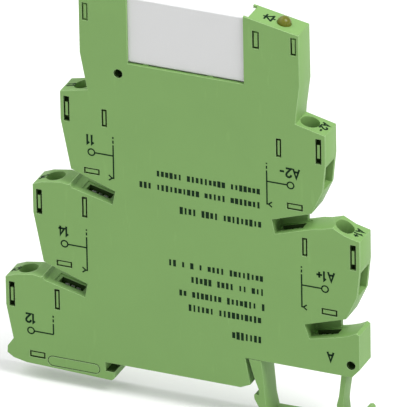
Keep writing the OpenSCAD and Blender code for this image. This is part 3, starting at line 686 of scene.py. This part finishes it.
# a paler copy of the bronze for the rounded arrises: a painted highlight
bronze_edge_highlight = bare_metal("bronze_edge_highlight", (0.88, 0.78, 0.52), rough=0.18, tarnish=0.1)
for terminal in ("11", "14", "12", "a2", "a1"):
    eased_copy("busbar_" + terminal, strip_arris, [busbar_copper, busbar_edge_highlight])
tinned_bronze = bare_metal("tinned_bronze", (0.74, 0.75, 0.76), rough=0.2, tarnish=0.35)
# a paler copy of the tinned bronze for the rounded arrises: a painted highlight
tinned_edge_highlight = bare_metal("tinned_edge_highlight", (0.86, 0.86, 0.86), rough=0.14, tarnish=0.1)
for level in ("14", "12", "a1", "a"):
    eased_copy("bridge_contact_" + level, strip_arris, [tinned_bronze, tinned_edge_highlight])
for pole in ("12", "11", "14", "coil_a", "coil_b"):
    eased_copy("socket_contact_" + pole, strip_arris, [spring_bronze, bronze_edge_highlight])

# ---------------------------------------------------------------------------------------------
# Input board: green solder mask over glass laminate, with chip resistors, a bridge rectifier, a
# freewheel diode and a smoothing capacitor soldered to its front.
board_arris = 0.00005
chip_arris = 0.00008
capacitor_arris = 0.0003
board_mask = moulded_plastic("board_mask", (0.02, 0.13, 0.05), rough=0.25, cloud=0.3, grain=1500, scuff=0.0)
board_rim = moulded_plastic("board_rim", (0.42, 0.40, 0.22), rough=0.6)
chip_epoxy = moulded_plastic("chip_epoxy", (0.022, 0.022, 0.025), rough=0.5, cloud=0.2, grain=7000)
# a lighter copy of the chip epoxy for the rounded arrises: a painted highlight
chip_epoxy_rim_highlight = moulded_plastic("chip_epoxy_rim_highlight", (0.07, 0.07, 0.075), rough=0.4)
capacitor_resin = moulded_plastic("capacitor_resin", (0.42, 0.24, 0.06), rough=0.3, cloud=0.2)
# a lighter copy of the capacitor resin for the rounded arrises: a painted highlight
capacitor_rim_highlight = moulded_plastic("capacitor_rim_highlight", (0.52, 0.33, 0.11), rough=0.25)
eased_copy("circuit_board", board_arris, [board_mask, board_rim])
for chip in ("series_resistors", "bridge_rectifier", "freewheel_diode"):
    eased_copy(chip, chip_arris, [chip_epoxy, chip_epoxy_rim_highlight])
eased_copy("smoothing_capacitor", capacitor_arris, [capacitor_resin, capacitor_rim_highlight], steps=3)

# ---------------------------------------------------------------------------------------------
# Indicator: a three millimetre lamp with a tinted epoxy dome that stands just proud of the input
# tower; unlit, it looks olive yellow.
lamp_arris = 0.0001
lens_epoxy, lens_tree, lens_shader = new_material("lens_epoxy")
lens_skin = fed(lens_tree, "ShaderNodeGroup", {}, node_tree=moulded_skin)
feed(lens_tree, lens_skin, {
    "Resin": (0.12, 0.13, 0.006, 1), "Cloud": 0.5, "Grain Scale": 900, "Gloss Rough": 0.2})
feed(lens_tree, lens_shader, {
    "Base Color": lens_skin.outputs["Colour"],
    "Roughness": lens_skin.outputs["Roughness"],
    "IOR": 1.52,
    "Specular IOR Level": 0.25,
    "Coat Weight": 0.05,
    "Coat Roughness": 0.08,
})
eased_copy("led", lamp_arris, [lens_epoxy, lens_epoxy], steps=3, angle=25)

# ---------------------------------------------------------------------------------------------
# Relay case and base: a thin-walled pale grey thermoplastic case with softly rounded arrises,
# pushed over a black base that carries the pins.
case_arris = 0.00035
base_arris = 0.0001
case_grey = moulded_plastic("case_grey", (0.68, 0.68, 0.675), rough=0.38, cloud=0.04, scuff=0.02,
                            grain=6400)
# a lighter copy of the case grey for the rounded arrises: a painted highlight
case_grey_arris_highlight = moulded_plastic("case_grey_arris_highlight", (0.78, 0.78, 0.78), rough=0.3, cloud=0.04)
base_black = moulded_plastic("base_black", (0.03, 0.03, 0.034), rough=0.5, cloud=0.2)
# a lighter copy of the base black for the rounded arrises: a painted highlight
base_black_arris_highlight = moulded_plastic("base_black_arris_highlight", (0.07, 0.07, 0.075), rough=0.4)
eased_copy("relay_cover", case_arris, [case_grey, case_grey_arris_highlight], steps=4)
eased_copy("relay_base", base_arris, [base_black, base_black_arris_highlight])

# ---------------------------------------------------------------------------------------------
# Relay motor and contacts: enamelled wire on a black bobbin over a soft iron core, an iron yoke
# round it, and a rocking armature that pushes an ivory card. The card moves a copper blade with a
# silver rivet between two fixed bronze contacts, whose tails are the relay's pins.
iron_arris = 0.00007
bobbin_arris = 0.0001
card_arris = 0.00006
blade_arris = 0.00005
moving_blade_arris = 0.00003
rivet_arris = 0.00008
iron_plate = bare_metal("iron_plate", (0.60, 0.60, 0.61), rough=0.32, tarnish=0.35)
# a paler copy of the iron for the rounded arrises: a painted highlight
iron_edge_highlight = bare_metal("iron_edge_highlight", (0.74, 0.74, 0.75), rough=0.22)
enamel_wire = bare_metal("enamel_wire", (0.62, 0.24, 0.09), rough=0.16, tarnish=0.2)
card_ivory = moulded_plastic("card_ivory", (0.72, 0.64, 0.44), rough=0.45, cloud=0.08)
# a paler copy of the card ivory for the rounded arrises: a painted highlight
card_ivory_rim_highlight = moulded_plastic("card_ivory_rim_highlight", (0.80, 0.73, 0.54), rough=0.4)
contact_silver = bare_metal("contact_silver", (0.83, 0.82, 0.80), rough=0.14, tarnish=0.2)
for iron in ("coil_core", "yoke", "armature", "armature_spring"):
    eased_copy(iron, iron_arris, [iron_plate, iron_edge_highlight])
eased_copy("coil_bobbin", bobbin_arris, [base_black, base_black_arris_highlight])
eased_copy("actuator_card", card_arris, [card_ivory, card_ivory_rim_highlight])
for strip in ("contact_com", "contact_nc", "contact_no", "coil_pins"):
    eased_copy(strip, blade_arris, [spring_bronze, bronze_edge_highlight])
eased_copy("moving_contact", moving_blade_arris, [busbar_copper, busbar_edge_highlight])
for rivet in ("moving_rivet", "rivet_nc", "rivet_no"):
    eased_copy(rivet, rivet_arris, [contact_silver, contact_silver])


def coil_turn_tree():
    """Geometry nodes for a coil: one oblong turn of wire, repeated along the bobbin."""
    tree, given, result = group_with(
        "coil_turns", "GeometryNodeTree",
        {"Geometry": "Geometry", "First Turn": "Vector", "Turns": "Int", "Wire Pitch": "Float",
         "Wire Radius": "Float", "Turn Thickness": "Float", "Turn Height": "Float", "Wire": "Material"},
        {"Geometry": "Geometry"})
    corner_share = 0.48
    loop = fed(tree, "GeometryNodeCurvePrimitiveQuadrilateral", {
        "Width": given["Turn Thickness"], "Height": given["Turn Height"]}, mode="RECTANGLE")
    rounded = fed(tree, "GeometryNodeFilletCurve", {
        "Curve": loop.outputs["Curve"],
        "Count": 4,
        "Radius": math_of(tree, "MULTIPLY", given["Turn Thickness"], corner_share),
    }, mode="POLY")
    stand = fed(tree, "GeometryNodeTransform", {
        "Geometry": rounded.outputs["Curve"], "Rotation": (math.pi / 2, 0, math.pi / 2)})
    gauge = fed(tree, "GeometryNodeCurvePrimitiveCircle", {"Resolution": 6, "Radius": given["Wire Radius"]})
    wire = fed(tree, "GeometryNodeCurveToMesh", {
        "Curve": stand.outputs["Geometry"], "Profile Curve": gauge.outputs["Curve"]})
    along = fed(tree, "ShaderNodeCombineXYZ", {"X": given["Wire Pitch"]})
    row = fed(tree, "GeometryNodeMeshLine", {
        "Count": given["Turns"],
        "Start Location": given["First Turn"],
        "Offset": along.outputs[0],
    }, mode="OFFSET")
    put = fed(tree, "GeometryNodeInstanceOnPoints", {
        "Points": row.outputs["Mesh"], "Instance": wire.outputs["Mesh"]})
    end_tree(tree, put.outputs["Instances"], given["Wire"], result)
    return tree


winding_low, winding_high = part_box("coil_winding")
wire_radius = 0.00009
coil_winding = grown("coil_winding_turns", coil_turn_tree(), {
    "First Turn": (winding_low[0] + wire_radius, 0, (winding_low[2] + winding_high[2]) / 2),
    "Turns": int((winding_high[0] - winding_low[0]) / (2 * wire_radius)),
    "Wire Pitch": 2 * wire_radius,
    "Wire Radius": wire_radius,
    "Turn Thickness": winding_high[1] - winding_low[1] - 2 * wire_radius,
    "Turn Height": winding_high[2] - winding_low[2] - 2 * wire_radius,
    "Wire": enamel_wire,
})
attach(coil_winding, "relay")
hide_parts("coil_winding")
